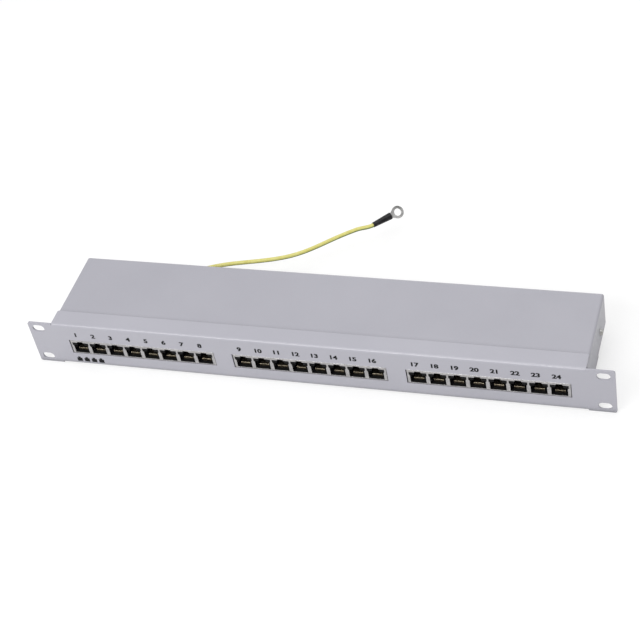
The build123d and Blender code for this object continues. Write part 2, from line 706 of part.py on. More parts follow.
for bank, name in enumerate(BANK_NAMES):
    save(bank_shield(bank), f"jack_shield_{name}")
    save(bank_housing(bank), f"jack_housing_{name}")
    save(bank_contacts(bank), f"jack_contacts_{name}")


# ---------------------------------------------------------------- punch-down strips


def punchdown_strip(x, y):
    """Comb-shaped moulding with a wire slot, a blade pocket and a pin hole at each position."""
    with BuildPart() as strip:
        with BuildSketch(square_to_y(x, y + STRIP_DEPTH / 2)):
            with Locations((0, BOARD_TOP)):
                Rectangle(
                    CABLES * CABLE_PITCH,
                    STRIP_TOP - BOARD_TOP,
                    align=(Align.CENTER, Align.MIN),
                )
            with Locations([(place, STRIP_TOP) for place in blade_x()]):
                Rectangle(
                    WIRE_SLOT,
                    WIRE_SLOT_DEPTH,
                    align=(Align.CENTER, Align.MAX),
                    mode=Mode.SUBTRACT,
                )
                Rectangle(WIRE_LEAD_IN, WIRE_LEAD_IN, rotation=45, mode=Mode.SUBTRACT)
            with Locations((0, STRIP_TOP)):
                with GridLocations(CABLE_PITCH, 0, CABLES - 1, 1):
                    Rectangle(
                        WIRE_SLOT,
                        CABLE_NOTCH_DEPTH,
                        align=(Align.CENTER, Align.MAX),
                        mode=Mode.SUBTRACT,
                    )
        extrude(amount=STRIP_DEPTH)
        with BuildSketch(Plane.XY.offset(STRIP_TOP)):
            with Locations([(x + place, y) for place in blade_x()]):
                Rectangle(BLADE_WIDTH + 2 * BLADE_PLAY, BLADE_THICKNESS + 2 * BLADE_PLAY)
        extrude(amount=-POCKET_DEPTH, mode=Mode.SUBTRACT)
        with BuildSketch(Plane.XY.offset(BOARD_TOP)):
            with Locations([(x + place, y) for place in blade_x()]):
                Circle(PIN_HOLE)
        extrude(amount=STRIP_TOP - POCKET_DEPTH - BOARD_TOP, mode=Mode.SUBTRACT)
    return strip


def bank_blades(bank):
    """The 64 forked blades of one bank, standing in the pockets of both strips."""
    blade_foot = STRIP_TOP - POCKET_DEPTH
    with BuildPart() as blades:
        for y in STRIP_ROWS.values():
            with BuildSketch(square_to_y(bank_x(bank), y + BLADE_THICKNESS / 2)):
                with Locations([(place, blade_foot) for place in blade_x()]):
                    Rectangle(BLADE_WIDTH, BLADE_HEIGHT, align=(Align.CENTER, Align.MIN))
                with Locations([(place, PIN_TIP) for place in blade_x()]):
                    Rectangle(BLADE_PIN, blade_foot - PIN_TIP, align=(Align.CENTER, Align.MIN))
                with Locations([(place, blade_foot + BLADE_HEIGHT) for place in blade_x()]):
                    Rectangle(
                        BLADE_GAP,
                        BLADE_GAP_DEPTH,
                        align=(Align.CENTER, Align.MAX),
                        mode=Mode.SUBTRACT,
                    )
                    Rectangle(BLADE_LEAD_IN, BLADE_LEAD_IN, rotation=45, mode=Mode.SUBTRACT)
            extrude(amount=BLADE_THICKNESS)
    return blades


for bank, name in enumerate(BANK_NAMES):
    save(bank_blades(bank), f"punchdown_blades_{name}")
    for row_name, row in STRIP_ROWS.items():
        save(punchdown_strip(bank_x(bank), row), f"punchdown_strip_{row_name}_{name}")


# ---------------------------------------------------------------- earth stud

with BuildPart() as earth_bolt:
    with Locations((STUD_X, STUD_Y, SHELF_BOTTOM)):
        Cylinder(STUD_HEAD, STUD_HEAD_HEIGHT, align=DOWNWARD)
        Cylinder(STUD_RADIUS, STUD_TOP - SHELF_BOTTOM, align=UPWARD)
    chamfer(earth_bolt.faces().sort_by(Axis.Z)[-1].edges(), STUD_TIP_CHAMFER)

save(earth_bolt, "earth_bolt")

with BuildPart() as earth_washers:
    for seat in (SHELF_TOP, UPPER_WASHER):
        with BuildSketch(Plane.XY.offset(seat)):
            with Locations((STUD_X, STUD_Y)):
                Circle(WASHER_OUTER)
                Circle(STUD_RADIUS + SLIDE_GAP, mode=Mode.SUBTRACT)
                with PolarLocations(WASHER_OUTER, WASHER_TEETH):
                    Rectangle(2 * WASHER_NOTCH_DEPTH, WASHER_NOTCH_WIDTH, mode=Mode.SUBTRACT)
        extrude(amount=WASHER)

save(earth_washers, "earth_washers")

with BuildPart() as earth_nut:
    with BuildSketch(Plane.XY.offset(UPPER_WASHER + WASHER)):
        with Locations((STUD_X, STUD_Y)):
            RegularPolygon(EARTH_NUT_WIDTH / 2, 6, major_radius=False)
            Circle(STUD_RADIUS + FIT, mode=Mode.SUBTRACT)
    extrude(amount=EARTH_NUT_HEIGHT)

save(earth_nut, "earth_nut")


# ---------------------------------------------------------------- earth lead

WIRE_START = (STUD_X, STUD_Y + STUD_BARREL_END, LUG_BOTTOM + BARREL_RADIUS)

# The free end: where the sleeve starts, the direction it points and the way the ring faces.
SLEEVE_START = Vector(8.7, 168.2, 0)
SLEEVE_HEADING = 47.4
RING_TILT = 47.2
SLEEVE_LENGTH = 18.0
WIRE_IN_SLEEVE = 8.0
CORE_IN_BARREL = 4.5
CORE_IN_RING = 6.0
RING_BARREL_DEPTH = 6.2
RING_BARREL_LENGTH = 8.2
RING_DISTANCE = 25.2
NECK_START = 10.0
NECK_END = 7.0
NECK_WIDTH = 4.0
CHEEK_START = 3.2
CHEEK_WIDTH = 8.6
heading = Vector(cos(radians(SLEEVE_HEADING)), sin(radians(SLEEVE_HEADING)), 0)
sideways = Vector(sin(radians(SLEEVE_HEADING)), -cos(radians(SLEEVE_HEADING)), 0)
ring_normal = sideways * sin(radians(RING_TILT)) + Vector(0, 0, 1) * cos(radians(RING_TILT))


def along_sleeve(distance):
    """Point on the sleeve's axis, counted from where the sleeve starts."""
    return SLEEVE_START + heading * distance


def across_sleeve(distance):
    """Plane square to the sleeve's axis."""
    return Plane(origin=along_sleeve(distance), z_dir=heading)


def direction(degrees_from_x, rise):
    """Unit vector pointing the given way in plan and rising by the given slope."""
    return Vector(cos(radians(degrees_from_x)), sin(radians(degrees_from_x)), rise).normalized()


# Where the wire passes on its way to the sleeve, and the way it points there.
WIRE_STATIONS = (
    (Vector(*WIRE_START), direction(90, 0)),
    (Vector(-122.0, 111.3, -8.3), direction(20, 0.05)),
    (Vector(-62.0, 124.9, -4.8), direction(17, 0.06)),
    (Vector(-30.0, 143.5, -2.7), direction(39, 0.06)),
    (Vector(-5.0, 161.9, -0.9), direction(33, 0.04)),
    (SLEEVE_START, heading),
)
BEND_REACH = 0.36


def wire_path(end_distance):
    """Line of the wire from the stud lug to a point inside the free end's sleeve."""
    for (start, start_way), (end, end_way) in zip(WIRE_STATIONS, WIRE_STATIONS[1:]):
        reach = (end - start).length * BEND_REACH
        Bezier(start, start + start_way * reach, end - end_way * reach, end)
    Line(SLEEVE_START, along_sleeve(end_distance))


with BuildPart() as stud_lug:
    with BuildSketch(Plane.XY.offset(LUG_BOTTOM)):
        with Locations((STUD_X, STUD_Y)):
            Circle(LUG_RADIUS)
            Rectangle(LUG_NECK_WIDTH, LUG_NECK_END, align=(Align.CENTER, Align.MIN))
            Circle(STUD_RADIUS + SLIDE_GAP, mode=Mode.SUBTRACT)
    extrude(amount=LUG_THICKNESS)
    with BuildSketch(square_to_y(STUD_X, STUD_Y + STUD_BARREL_END)):
        with Locations((0, WIRE_START[2])):
            Circle(BARREL_RADIUS)
    extrude(amount=STUD_BARREL_END - STUD_BARREL_START)
    with BuildSketch(square_to_y(STUD_X, STUD_Y + STUD_BARREL_END)):
        with Locations((0, WIRE_START[2])):
            Circle(BARREL_BORE)
    extrude(amount=STUD_BARREL_DEPTH, mode=Mode.SUBTRACT)

save(stud_lug, "stud_lug")

with BuildPart() as stud_sleeve:
    barrel_middle = WIRE_START[2]
    bore = BARREL_RADIUS + SLIDE_GAP
    with BuildSketch(square_to_x(STUD_X)):
        with BuildLine():
            Polyline(
                (STUD_Y + STUD_SLEEVE_START, barrel_middle + bore),
                (STUD_Y + STUD_SLEEVE_SHOULDER, barrel_middle + bore),
                (STUD_Y + STUD_SLEEVE_END, barrel_middle + STUD_SLEEVE_MOUTH),
                (STUD_Y + STUD_SLEEVE_END, barrel_middle + STUD_SLEEVE_MOUTH + SLEEVE_WALL),
                (STUD_Y + STUD_SLEEVE_SHOULDER, barrel_middle + bore + SLEEVE_WALL),
                (STUD_Y + STUD_SLEEVE_START, barrel_middle + bore + SLEEVE_WALL),
                close=True,
            )
        make_face()
    revolve(axis=Axis((STUD_X, 0, barrel_middle), (0, 1, 0)))

save(stud_sleeve, "stud_sleeve")

with BuildPart() as earth_wire:
    with BuildLine() as wire_line:
        wire_path(WIRE_IN_SLEEVE)
    with BuildSketch(Plane(origin=WIRE_START, z_dir=(0, 1, 0))):
        Circle(WIRE_RADIUS)
        Circle(CORE_RADIUS + FIT, mode=Mode.SUBTRACT)
    sweep()

save(earth_wire, "earth_wire")

with BuildPart() as earth_wire_core:
    core_start = Vector(*WIRE_START) - Vector(0, CORE_IN_BARREL, 0)
    with BuildLine():
        Line(core_start, WIRE_START)
        wire_path(WIRE_IN_SLEEVE + CORE_IN_RING)
    with BuildSketch(Plane(origin=core_start, z_dir=(0, 1, 0))):
        Circle(CORE_RADIUS)
    sweep()

save(earth_wire_core, "earth_wire_core")

with BuildPart() as ring_terminal:
    with BuildSketch(across_sleeve(WIRE_IN_SLEEVE + FIT)):
        Circle(BARREL_RADIUS)
    extrude(amount=RING_BARREL_LENGTH)
    ring_centre = along_sleeve(RING_DISTANCE)
    ring_plane = Plane(origin=ring_centre, x_dir=heading, z_dir=ring_normal)
    with BuildSketch(ring_plane.offset(-RING_THICKNESS / 2)):
        Circle(RING_OUTER)
        with BuildLine():
            Polyline(
                (-NECK_START, 0),
                (-NECK_START, NECK_WIDTH / 2),
                (-NECK_END, NECK_WIDTH / 2),
                (-CHEEK_START, CHEEK_WIDTH / 2),
                (0, CHEEK_WIDTH / 2),
                (0, 0),
            )
            mirror(about=Plane.XZ)
        make_face()
        Circle(RING_HOLE, mode=Mode.SUBTRACT)
    extrude(amount=RING_THICKNESS)
    with BuildSketch(across_sleeve(WIRE_IN_SLEEVE + FIT)):
        Circle(BARREL_BORE)
    extrude(amount=RING_BARREL_DEPTH, mode=Mode.SUBTRACT)

save(ring_terminal, "ring_terminal")

with BuildPart() as heat_shrink_sleeve:
    with BuildSketch(across_sleeve(0)):
        Circle(WIRE_RADIUS + SLEEVE_WALL - SLIDE_GAP)
    with BuildSketch(across_sleeve(SLEEVE_LENGTH)):
        Circle(BARREL_RADIUS + 2 * SLEEVE_WALL)
    loft()
    with BuildSketch(across_sleeve(0)):
        Circle(WIRE_RADIUS + FIT)
    extrude(amount=SLEEVE_LENGTH, mode=Mode.SUBTRACT)
    with BuildSketch(across_sleeve(WIRE_IN_SLEEVE - 0.5)):
        Circle(BARREL_RADIUS + SLIDE_GAP)
    extrude(amount=SLEEVE_LENGTH, mode=Mode.SUBTRACT)

save(heat_shrink_sleeve, "heat_shrink_sleeve")
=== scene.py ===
"""Looks of the screened 24-port patch panel: materials, printing, small parts, floor, light and camera.

Lengths are in metres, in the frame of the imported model: X right, Y to the rear and Z up.
"""

import json
import math

import bmesh
import bpy
from mathutils import Euler, Matrix, Vector

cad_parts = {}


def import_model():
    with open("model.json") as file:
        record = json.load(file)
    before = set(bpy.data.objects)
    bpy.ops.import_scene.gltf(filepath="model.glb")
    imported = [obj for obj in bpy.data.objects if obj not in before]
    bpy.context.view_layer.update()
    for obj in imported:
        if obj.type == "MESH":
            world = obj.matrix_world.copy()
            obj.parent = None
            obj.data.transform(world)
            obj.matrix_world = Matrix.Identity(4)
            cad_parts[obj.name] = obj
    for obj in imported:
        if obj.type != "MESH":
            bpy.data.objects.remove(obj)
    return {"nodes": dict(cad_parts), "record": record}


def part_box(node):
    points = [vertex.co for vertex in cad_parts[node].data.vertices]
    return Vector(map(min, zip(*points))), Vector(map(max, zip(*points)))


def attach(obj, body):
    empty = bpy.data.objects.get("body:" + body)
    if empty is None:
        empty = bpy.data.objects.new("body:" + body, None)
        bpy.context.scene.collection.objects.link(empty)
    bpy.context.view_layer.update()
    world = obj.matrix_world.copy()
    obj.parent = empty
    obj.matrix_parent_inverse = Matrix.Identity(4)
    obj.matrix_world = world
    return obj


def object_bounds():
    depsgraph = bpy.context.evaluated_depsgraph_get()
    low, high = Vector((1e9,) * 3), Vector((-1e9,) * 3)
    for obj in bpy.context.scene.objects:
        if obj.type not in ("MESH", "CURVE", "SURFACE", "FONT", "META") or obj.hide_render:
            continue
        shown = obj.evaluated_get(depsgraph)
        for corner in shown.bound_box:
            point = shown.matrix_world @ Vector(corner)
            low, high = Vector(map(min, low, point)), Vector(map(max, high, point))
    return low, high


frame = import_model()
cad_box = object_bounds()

MM = 0.001
BANKS = ("left", "middle", "right")
PORTS = 8
PORT_PITCH = 15.7 * MM

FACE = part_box("front_panel")[0].y


def middle(node):
    """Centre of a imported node's box."""
    low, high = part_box(node)
    return (low + high) / 2


# ---------------------------------------------------------------- materials


class Look:
    """A node material being put together, with a short call for each kind of node it uses."""

    def __init__(self, name):
        self.material = bpy.data.materials.new(name)
        self.material.use_nodes = True
        self.tree = self.material.node_tree
        self.shader = self.tree.nodes["Principled BSDF"]
        self.place = self.node("ShaderNodeTexCoord").outputs["Object"]
        self.surface = self.node("ShaderNodeNewGeometry")

    def node(self, kind, **settings):
        """Adds a node and sets its options."""
        made = self.tree.nodes.new(kind)
        for setting, value in settings.items():
            setattr(made, setting, value)
        return made

    def feed(self, socket, value):
        """Gives a socket another node's output, or a plain value."""
        if isinstance(value, bpy.types.NodeSocket):
            self.tree.links.new(value, socket)
        else:
            socket.default_value = value

    def finish(self, **inputs):
        """Feeds the main shader, with underscores for the spaces in its sockets' names."""
        for name, value in inputs.items():
            self.feed(self.shader.inputs[name.replace("_", " ")], value)
        return self.material

    def stretched(self, x, y, z):
        """Coordinates scaled along each axis, for grain that runs one way."""
        mapping = self.node("ShaderNodeMapping")
        self.feed(mapping.inputs["Vector"], self.place)
        mapping.inputs["Scale"].default_value = (x, y, z)
        return mapping.outputs["Vector"]

    def noise(self, feature, detail=2.0, place=None):
        """Noise whose lumps are about the given size across."""
        made = self.node("ShaderNodeTexNoise")
        self.feed(made.inputs["Vector"], place or self.place)
        made.inputs["Scale"].default_value = 1 / feature
        made.inputs["Detail"].default_value = detail
        return made.outputs["Fac"]

    def span(self, value, low, high, new_low=0.0, new_high=1.0):
        """Maps low..high to new_low..new_high and holds it there outside."""
        made = self.node("ShaderNodeMapRange")
        self.feed(made.inputs["Value"], value)
        for socket, number in zip(made.inputs[1:5], (low, high, new_low, new_high)):
            socket.default_value = number
        return made.outputs["Result"]

    def sum_of(self, operation, a, b=0.0):
        """One step of arithmetic on two values."""
        made = self.node("ShaderNodeMath", operation=operation)
        self.feed(made.inputs[0], a)
        self.feed(made.inputs[1], b)
        return made.outputs["Value"]

    def mix(self, share, first, second):
        """Colour between the first (share 0) and the second (share 1)."""
        made = self.node("ShaderNodeMix", data_type="RGBA")
        self.feed(made.inputs["Factor"], share)
        for socket, colour in zip(made.inputs[6:8], (first, second)):
            self.feed(socket, colour if isinstance(colour, bpy.types.NodeSocket) else (*colour, 1))
        return made.outputs[2]

    def bump(self, height, depth, strength=1.0, normal=None):
        """Normal of a surface that is raised by up to the given depth."""
        made = self.node("ShaderNodeBump")
        self.feed(made.inputs["Height"], height)
        made.inputs["Distance"].default_value = depth
        made.inputs["Strength"].default_value = strength
        if normal is not None:
            self.feed(made.inputs["Normal"], normal)
        return made.outputs["Normal"]

    def rounded(self, radius):
        """Normal that rounds sharp edges over the given radius."""
        made = self.node("ShaderNodeBevel", samples=4)
        made.inputs["Radius"].default_value = radius
        return made.outputs["Normal"]

    def crevices(self, reach):
        """Mask for painted shade, from ambient occlusion: 0 deep in corners and seams and 1 on open faces.
        """
        made = self.node("ShaderNodeAmbientOcclusion", samples=4)
        made.inputs["Distance"].default_value = reach
        return self.span(made.outputs["AO"], 0.35, 0.95)

    def edges(self, radius, low=0.005, high=0.12):
        """1 along sharp edges and 0 on faces."""
        turn = self.node("ShaderNodeVectorMath", operation="DOT_PRODUCT")
        self.feed(turn.inputs[0], self.rounded(radius))
        self.feed(turn.inputs[1], self.surface.outputs["True Normal"])
        return self.span(self.sum_of("SUBTRACT", 1.0, turn.outputs["Value"]), low, high)


# Reach and depth of the shade painted into the grey paint's corners and seams.
SHADE_REACH = 5.0 * MM
PAINTED_SHADE = 0.45
EDGE_RADIUS = 0.3 * MM
WORN_PAINT = (0.60, 0.60, 0.63)
BODY_TONE = 1.04
PANEL_TONE = 1.12
PAINT_SHADES = ((0.378, 0.374, 0.422), (0.408, 0.404, 0.453), (0.445, 0.441, 0.490))


def grey_paint(name, tone):
    """Satin powder coat: orange peel, fine speckle, faint handling marks, slightly thinner edges, and
    painted shade darkening its corners and seams.
    """
    look = Look(name)
    peel = look.noise(0.9 * MM, 2.0)
    grain = look.noise(0.22 * MM, 1.0)
    cloud = look.noise(60 * MM, 3.0)
    smudge = look.noise(18 * MM, 4.0)
    shades = [tuple(tone * part for part in shade) for shade in PAINT_SHADES]
    colour = look.mix(look.span(cloud, 0.3, 0.7), shades[0], shades[1])
    colour = look.mix(look.span(grain, 0.35, 0.75), colour, shades[2])
    edge = look.edges(0.35 * MM)
    worn = look.sum_of("MULTIPLY", edge, look.span(smudge, 0.42, 0.62, 0.0, 0.3))
    colour = look.mix(worn, colour, WORN_PAINT)
    # Painted shade: the paint colour turns towards a darker tone in corners and seams, such as on the cover
    # just behind the panel's flange.
    shadow = tuple(PAINTED_SHADE * part for part in shades[1])
    colour = look.mix(look.crevices(SHADE_REACH), shadow, colour)
    rough = look.span(smudge, 0.3, 0.7, 0.30, 0.38)
    normal = look.bump(peel, 0.03 * MM, 0.55, look.rounded(EDGE_RADIUS))
    normal = look.bump(grain, 0.008 * MM, 0.4, normal)
    return look.finish(
        Base_Color=colour,
        Roughness=rough,
        Normal=normal,
        Specular_IOR_Level=0.8,
        Coat_Weight=0.3,
        Coat_Roughness=0.16,
        Coat_Normal=look.rounded(EDGE_RADIUS),
    )


def plated(name, dull, bright, rough, grain_size, tint=None, patch_size=2.5 * MM):
    """Plated metal: patchy tone, fine grain, and brighter worn edges."""
    look = Look(name)
    patch = look.noise(patch_size, 4.0)
    grain = look.noise(grain_size, 3.0)
    colour = look.mix(look.span(patch, 0.35, 0.65), dull, bright)
    if tint is not None:
        colour = look.mix(look.span(look.noise(4 * MM, 2.0), 0.5, 0.75, 0.0, 0.5), colour, tint)
    colour = look.mix(look.edges(0.12 * MM), colour, tuple(min(1.0, c * 1.12) for c in bright))
    roughness = look.span(grain, 0.3, 0.7, rough * 0.75, rough * 1.3)
    normal = look.bump(grain, 0.01 * MM, 0.35, look.rounded(0.08 * MM))
    return look.finish(Base_Color=colour, Metallic=1.0, Roughness=roughness, Normal=normal)


def bare_steel():
    return plated("bare_steel", (0.50, 0.50, 0.49), (0.66, 0.66, 0.65), 0.30, 0.3 * MM, (0.62, 0.60, 0.50))


def brass():
    return plated("brass", (0.66, 0.47, 0.20), (0.83, 0.63, 0.30), 0.25, 0.25 * MM)


def nickel():
    return plated("nickel", (0.45, 0.44, 0.44), (0.55, 0.54, 0.54), 0.26, 0.5 * MM)


def gold():
    return plated("gold", (0.44, 0.37, 0.26), (0.60, 0.51, 0.37), 0.32, 0.2 * MM)


def tinned_bronze():
    return plated("tinned_bronze", (0.58, 0.56, 0.52), (0.74, 0.72, 0.68), 0.30, 0.25 * MM)


def tinned_copper():
    dull, bright = (0.26, 0.26, 0.26), (0.94, 0.93, 0.92)
    return plated("tinned_copper", dull, bright, 0.20, 0.6 * MM, patch_size=7 * MM)


def copper():
    """Stranded copper: fine ridges wound round the core."""
    look = Look("copper")
    strands = look.noise(0.35 * MM, 1.0, look.stretched(0.2, 1.0, 1.0))
    colour = look.mix(look.span(strands, 0.35, 0.65), (0.55, 0.24, 0.13), (0.86, 0.47, 0.32))
    return look.finish(Base_Color=colour, Metallic=1.0, Roughness=0.32, Normal=look.bump(strands, 0.1 * MM))


def moulded(name, dark, light, rough, depth=0.01 * MM, feature=0.15 * MM):
    """Moulded plastic: spark-eroded texture and a painted sheen, a lighter colour along the edges."""
    look = Look(name)
    grain = look.noise(feature, 2.0)
    flow = look.noise(9 * MM, 3.0)
    colour = look.mix(look.span(flow, 0.3, 0.7), dark, light)
    # Painted sheen: edges get a lighter colour in place of a reflection.
    edge_sheen = tuple(min(1.0, c * 1.5 + 0.01) for c in light)
    colour = look.mix(look.sum_of("MULTIPLY", look.edges(0.15 * MM), 0.35), colour, edge_sheen)
    roughness = look.span(flow, 0.3, 0.7, rough - 0.06, rough + 0.06)
    normal = look.bump(grain, depth, 0.5, look.rounded(0.12 * MM))
    return look, dict(Base_Color=colour, Roughness=roughness, Normal=normal)


def black_plastic():
    look, inputs = moulded("black_plastic", (0.005, 0.005, 0.006), (0.010, 0.010, 0.011), 0.55)
    return look.finish(**inputs, Specular_IOR_Level=0.12)


def ivory_plastic():
    look, inputs = moulded("ivory_plastic", (0.66, 0.63, 0.53), (0.74, 0.71, 0.62), 0.40)
    return look.finish(**inputs, Subsurface_Weight=0.15, Subsurface_Scale=0.8 * MM)


def black_sleeve():
    """Shrunk tube: soft rings and a faint bloom."""
    look = Look("black_sleeve")
    rings = look.noise(1.3 * MM, 2.0)
    bloom = look.noise(3 * MM, 4.0)
    colour = look.mix(look.span(bloom, 0.4, 0.7), (0.006, 0.006, 0.007), (0.016, 0.016, 0.017))
    return look.finish(
        Base_Color=colour,
        Roughness=look.span(bloom, 0.3, 0.7, 0.28, 0.42),
        Normal=look.bump(rings, 0.12 * MM, 0.6),
        Specular_IOR_Level=0.35,
    )


TRACK_PITCH = 1.1 * MM


def board_green():
    """Solder mask over copper tracks that run from the sockets to the punch-down strips."""
    look = Look("board_green")
    parts = look.node("ShaderNodeSeparateXYZ")
    look.feed(parts.inputs["Vector"], look.place)
    bend = look.sum_of("MULTIPLY", look.noise(9 * MM, 0.0), 6 * MM)
    across = look.sum_of("ADD", parts.outputs["X"], bend)
    stripe = look.sum_of("SINE", look.sum_of("MULTIPLY", across, math.tau / TRACK_PITCH))
    gaps = look.span(look.noise(14 * MM, 1.0), 0.44, 0.50)
    facing = look.node("ShaderNodeSeparateXYZ")
    look.feed(facing.inputs["Vector"], look.surface.outputs["True Normal"])
    flat = look.span(look.sum_of("ABSOLUTE", facing.outputs["Z"]), 0.4, 0.6)
    track = look.sum_of("MULTIPLY", look.sum_of("MULTIPLY", look.span(stripe, 0.25, 0.45), gaps), flat)
    colour = look.mix(track, (0.006, 0.060, 0.024), (0.018, 0.135, 0.050))
    colour = look.mix(flat, (0.16, 0.19, 0.07), colour)
    weave = look.noise(0.5 * MM, 1.0)
    normal = look.bump(track, 0.035 * MM, 0.8, look.bump(weave, 0.006 * MM, 0.4))
    return look.finish(Base_Color=colour, Roughness=look.span(weave, 0.3, 0.7, 0.2, 0.32), Normal=normal)


STRIPE_START = 2.3
STRIPE_TURN_PER_METRE = 4.0


def green_yellow():
    """Yellow sheath with a green stripe that winds slowly round the wire."""
    look = Look("green_yellow")
    facing = look.node("ShaderNodeSeparateXYZ")
    look.feed(facing.inputs["Vector"], look.surface.outputs["Normal"])
    along = look.node("ShaderNodeSeparateXYZ")
    look.feed(along.inputs["Vector"], look.place)
    sideways = look.sum_of(
        "SUBTRACT",
        look.sum_of("MULTIPLY", facing.outputs["Y"], 0.85),
        look.sum_of("MULTIPLY", facing.outputs["X"], 0.5),
    )
    angle = look.sum_of("ARCTAN2", facing.outputs["Z"], sideways)
    wind = look.sum_of("MULTIPLY", along.outputs["X"], STRIPE_TURN_PER_METRE)
    stripe = look.sum_of("COSINE", look.sum_of("ADD", look.sum_of("ADD", angle, STRIPE_START), wind))
    green = look.span(stripe, 0.42, 0.58)
    haze = look.noise(5 * MM, 3.0)
    yellow = look.mix(look.span(haze, 0.3, 0.7), (0.70, 0.65, 0.17), (0.79, 0.75, 0.26))
    leaf = look.mix(look.span(haze, 0.3, 0.7), (0.13, 0.20, 0.05), (0.19, 0.26, 0.07))
    colour = look.mix(green, yellow, leaf)
    normal = look.bump(look.noise(0.6 * MM, 2.0), 0.02 * MM, 0.4)
    return look.finish(Base_Color=colour, Roughness=look.span(haze, 0.3, 0.7, 0.3, 0.42), Normal=normal)


def ink(name, thick, thin):
    """Screen-printed ink with a slightly uneven film."""
    look = Look(name)
    film = look.noise(0.25 * MM, 3.0)
    colour = look.mix(look.span(film, 0.35, 0.75), thick, thin)
    normal = look.bump(film, 0.006 * MM, 0.5)
    return look.finish(Base_Color=colour, Roughness=0.6, Normal=normal, Specular_IOR_Level=0.2)


SLOT_LOOKS = {
    "grey_paint": grey_paint("grey_paint", BODY_TONE),
    "bare_steel": bare_steel(),
    "brass": brass(),
    "board_green": board_green(),
    "nickel": nickel(),
    "black_plastic": black_plastic(),
    "gold": gold(),
    "tinned_bronze": tinned_bronze(),
    "ivory_plastic": ivory_plastic(),
    "tinned_copper": tinned_copper(),
    "black_sleeve": black_sleeve(),
    "green_yellow": green_yellow(),
    "copper": copper(),
}

for subpart in frame["record"]["subparts"]:
    for place in frame["nodes"][subpart["node"]].material_slots:
        place.material = SLOT_LOOKS[subpart["material_slot"]]
frame["nodes"]["front_panel"].material_slots[0].material = grey_paint("panel_paint", PANEL_TONE)


# ---------------------------------------------------------------- printing on the face

BLACK_INK = ink("black_ink", (0.004, 0.004, 0.005), (0.014, 0.014, 0.016))
WHITE_INK = ink("white_ink", (0.80, 0.80, 0.78), (0.70, 0.70, 0.68))
PAIR_INKS = {
    "blue": ink("blue_ink", (0.02, 0.09, 0.42), (0.03, 0.12, 0.48)),
    "orange": ink("orange_ink", (0.78, 0.22, 0.02), (0.84, 0.28, 0.04)),
    "green": ink("green_ink", (0.02, 0.24, 0.06), (0.03, 0.30, 0.09)),
    "brown": ink("brown_ink", (0.14, 0.055, 0.02), (0.18, 0.075, 0.03)),
}
INK_FILM = 0.02 * MM
NUMERAL_HEIGHT = 4.1 * MM
NUMERAL_Z = 11.6 * MM
NUMERAL_SHIFT = -1.35 * MM
NUMERAL_BOLD = 0.21 * MM
NUMERAL_STRETCH = 1.18
NUMERAL_SPREADS = (-0.11 * MM, 0.11 * MM)
OVERPRINT = 0.004 * MM
CAPITAL_SHARE = 0.70
SIGN_LEFT = -206.3 * MM
SIGN_BOTTOM = -18.9 * MM
SIGN_WIDTH = 4.7 * MM
SIGN_BODY = 3.8 * MM
SIGN_LATCH = 2.2 * MM
SIGN_HEIGHT = 5.1 * MM
SIGN_PITCH = 6.6 * MM
SIGNS = 4


def text_mesh(words, height, bold=0.0, stretch=1.0):
    """Mesh of a line of text, centred on the origin in the XY plane, with a thin film's depth."""
    line = bpy.data.curves.new("line", "FONT")
    line.body = words
    line.align_x = "CENTER"
    line.size = height / CAPITAL_SHARE
    line.offset = bold
    line.extrude = INK_FILM / 2
    line.resolution_u = 6
    holder = bpy.data.objects.new("holder", line)
    bpy.context.scene.collection.objects.link(holder)
    bpy.context.view_layer.update()
    mesh = bpy.data.meshes.new_from_object(holder.evaluated_get(bpy.context.evaluated_depsgraph_get()))
    mesh.transform(Matrix.Diagonal((stretch, 1, 1, 1)) @ Matrix.Translation((0, -height / 2, 0)))
    bpy.data.objects.remove(holder)
    bpy.data.curves.remove(line)
    return mesh


def piece(name, shape, material, body):
    """Turns a bmesh into a named piece of the object that rides on a body."""
    mesh = bpy.data.meshes.new(name)
    shape.to_mesh(mesh)
    shape.free()
    made = bpy.data.objects.new(name, mesh)
    made.data.materials.append(material)
    bpy.context.scene.collection.objects.link(made)
    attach(made, body)
    return made


def standing(x, y, z, turn=0.0):
    """Stands a flat drawing up to face the front, or turned about Z from there, on a face at y."""
    outward = INK_FILM / 2 * math.cos(turn)
    return Matrix.Translation((x, y - outward, z)) @ Euler((math.pi / 2, 0, turn)).to_matrix().to_4x4()


def block(shape, low, high):
    """Adds a box between two corners."""
    low, high = Vector(low), Vector(high)
    grown = bmesh.ops.create_cube(shape, size=1.0)["verts"]
    bmesh.ops.scale(shape, vec=high - low, verts=grown)
    bmesh.ops.translate(shape, vec=(low + high) / 2, verts=grown)
    return grown


def socket_sign(shape, x):
    """A small pictogram of a socket: its body with the latch's step on top, drawn flat in ink."""
    middle_x = x + SIGN_WIDTH / 2
    body_top = SIGN_BOTTOM + SIGN_BODY
    block(shape, (x, FACE - INK_FILM, SIGN_BOTTOM), (x + SIGN_WIDTH, FACE, body_top))
    block(
        shape,
        (middle_x - SIGN_LATCH / 2, FACE - INK_FILM, body_top),
        (middle_x + SIGN_LATCH / 2, FACE, SIGN_BOTTOM + SIGN_HEIGHT),
    )


signs = bmesh.new()
for sign in range(SIGNS):
    socket_sign(signs, SIGN_LEFT + sign * SIGN_PITCH)
piece("socket_signs", signs, BLACK_INK, "chassis")

numerals = bmesh.new()
for bank, bank_name in enumerate(BANKS):
    for port in range(PORTS):
        port_x = middle(f"jack_housing_{bank_name}").x + (port - (PORTS - 1) / 2) * PORT_PITCH
        for layer, spread in enumerate(NUMERAL_SPREADS):
            mesh = text_mesh(str(bank * PORTS + port + 1), NUMERAL_HEIGHT, NUMERAL_BOLD, NUMERAL_STRETCH)
            mesh.transform(standing(port_x + NUMERAL_SHIFT + spread, FACE - layer * OVERPRINT, NUMERAL_Z))
            numerals.from_mesh(mesh)
piece("port_numbers", numerals, BLACK_INK, "chassis")


# ---------------------------------------------------------------- printing on the strips and boards

